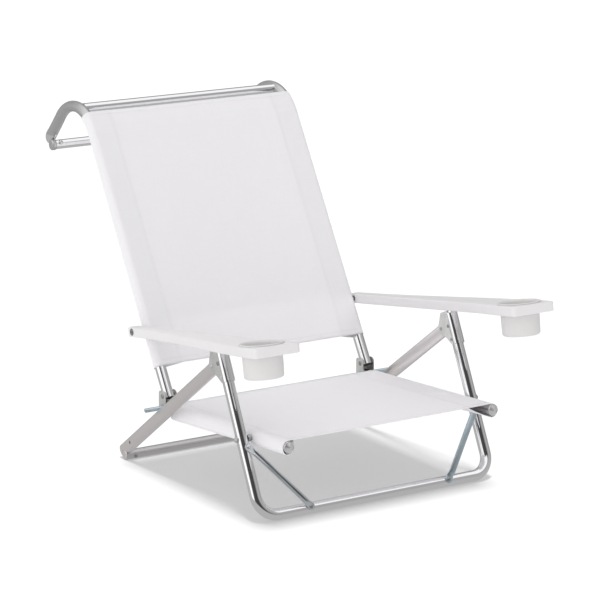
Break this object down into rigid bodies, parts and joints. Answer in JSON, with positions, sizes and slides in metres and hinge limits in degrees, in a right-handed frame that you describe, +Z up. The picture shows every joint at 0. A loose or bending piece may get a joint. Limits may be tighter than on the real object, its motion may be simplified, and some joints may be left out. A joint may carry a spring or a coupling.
{
  "type": "beach chair",
  "caption": "Low folding beach chair with sling seat and hooked sling back, flared armrests with cup holders, a bent-tube front leg frame and hinged rear legs.",
  "frame": {"origin": "on the floor, at the middle of the chair's width and of its overall length", "axes": "+Z up, -Y towards the front of the chair (the way the sitter faces), +X towards the sitter's left; node names ending _right are on the -X side"},
  "size_m": [0.776, 1.103, 0.7861],
  "materials": {
    "polished_tube": "polished, bright",
    "satin_tube": "satin, slightly warm grey",
    "bracket": "stamped plate, dull",
    "zinc": "zinc plated, bluish",
    "fastener": "plain steel rivets and bolts",
    "cloth": "off-white woven sling cloth",
    "plastic": "moulded, satin white",
    "black_plug": "black end plugs"
  },
  "bodies": {
    "legs": {"front_leg_frame": "polished_tube", "gusset_bracket_right": "bracket", "brace_strut_right": "zinc", "gusset_rivet_right": "fastener", "armrest_pin_right": "fastener", "rear_leg_pin_right": "fastener", "seat_pivot_bolt_right": "fastener", "seat_pivot_nut_right": "fastener", "seat_pivot_spacer_right": "fastener", "strut_rivet_upper_right": "fastener", "strut_rivet_lower_right": "fastener", "gusset_bracket_left": "bracket", "brace_strut_left": "zinc", "gusset_rivet_left": "fastener", "armrest_pin_left": "fastener", "rear_leg_pin_left": "fastener", "seat_pivot_bolt_left": "fastener", "seat_pivot_nut_left": "fastener", "seat_pivot_spacer_left": "fastener", "strut_rivet_upper_left": "fastener", "strut_rivet_lower_left": "fastener"},
    "rear_legs": {"rear_floor_bar": "satin_tube", "rear_leg_right": "satin_tube", "rear_bar_screw_right": "fastener", "rear_bar_plug_right": "satin_tube", "rear_leg_left": "satin_tube", "rear_bar_screw_left": "fastener", "rear_bar_plug_left": "satin_tube"},
    "seat": {"seat_sling": "cloth", "seat_cross_rod": "zinc", "seat_rail_right": "polished_tube", "seat_rail_plug_right": "polished_tube", "hinge_bracket_right": "bracket", "hinge_pin_right": "fastener", "seat_rail_left": "polished_tube", "seat_rail_plug_left": "polished_tube", "hinge_bracket_left": "bracket", "hinge_pin_left": "fastener"},
    "back": {"back_sling": "cloth", "back_upper_crossbar": "polished_tube", "back_lower_crossbar": "polished_tube", "back_rail_right": "satin_tube", "back_rail_plug_right": "black_plug", "lower_crossbar_screw_right": "fastener", "armrest_bolt_right": "fastener", "back_rail_left": "satin_tube", "back_rail_plug_left": "black_plug", "lower_crossbar_screw_left": "fastener", "armrest_bolt_left": "fastener"},
    "armrest_right": {"armrest_right": "plastic", "cup_holder_right": "plastic", "armrest_bracket_right": "fastener"},
    "armrest_left": {"armrest_left": "plastic", "cup_holder_left": "plastic", "armrest_bracket_left": "fastener"}
  },
  "joints": [
    {"name": "seat_pivot", "type": "hinge", "parent": "legs", "child": "seat", "pos_m": [0, -0.36176, 0.169], "axis": [1, 0, 0], "range_deg": [-86, 5]},
    {"name": "rear_leg_pivot", "type": "hinge", "parent": "legs", "child": "rear_legs", "pos_m": [0, -0.26236, 0.31], "axis": [1, 0, 0], "range_deg": [-79.5, 5]},
    {"name": "back_hinge", "type": "hinge", "parent": "seat", "child": "back", "pos_m": [0, 0.00764, 0.1748], "axis": [1, 0, 0], "range_deg": [-6, 93]},
    {"name": "armrest_right_pivot", "type": "hinge", "parent": "legs", "child": "armrest_right", "pos_m": [-0.304, -0.28936, 0.322], "axis": [1, 0, 0], "range_deg": [-86, 5.5]},
    {"name": "armrest_left_pivot", "type": "hinge", "parent": "legs", "child": "armrest_left", "pos_m": [0.304, -0.28936, 0.322], "axis": [1, 0, 0], "range_deg": [-86, 5.5]}
  ],
  "couplings": [
    {"joint": "rear_leg_pivot", "follows": "seat_pivot", "ratio": 0.915},
    {"joint": "back_hinge", "follows": "seat_pivot", "ratio": -1.0765},
    {"joint": "armrest_right_pivot", "follows": "seat_pivot", "ratio": 0.9893},
    {"joint": "armrest_left_pivot", "follows": "seat_pivot", "ratio": 0.9893}
  ]
}
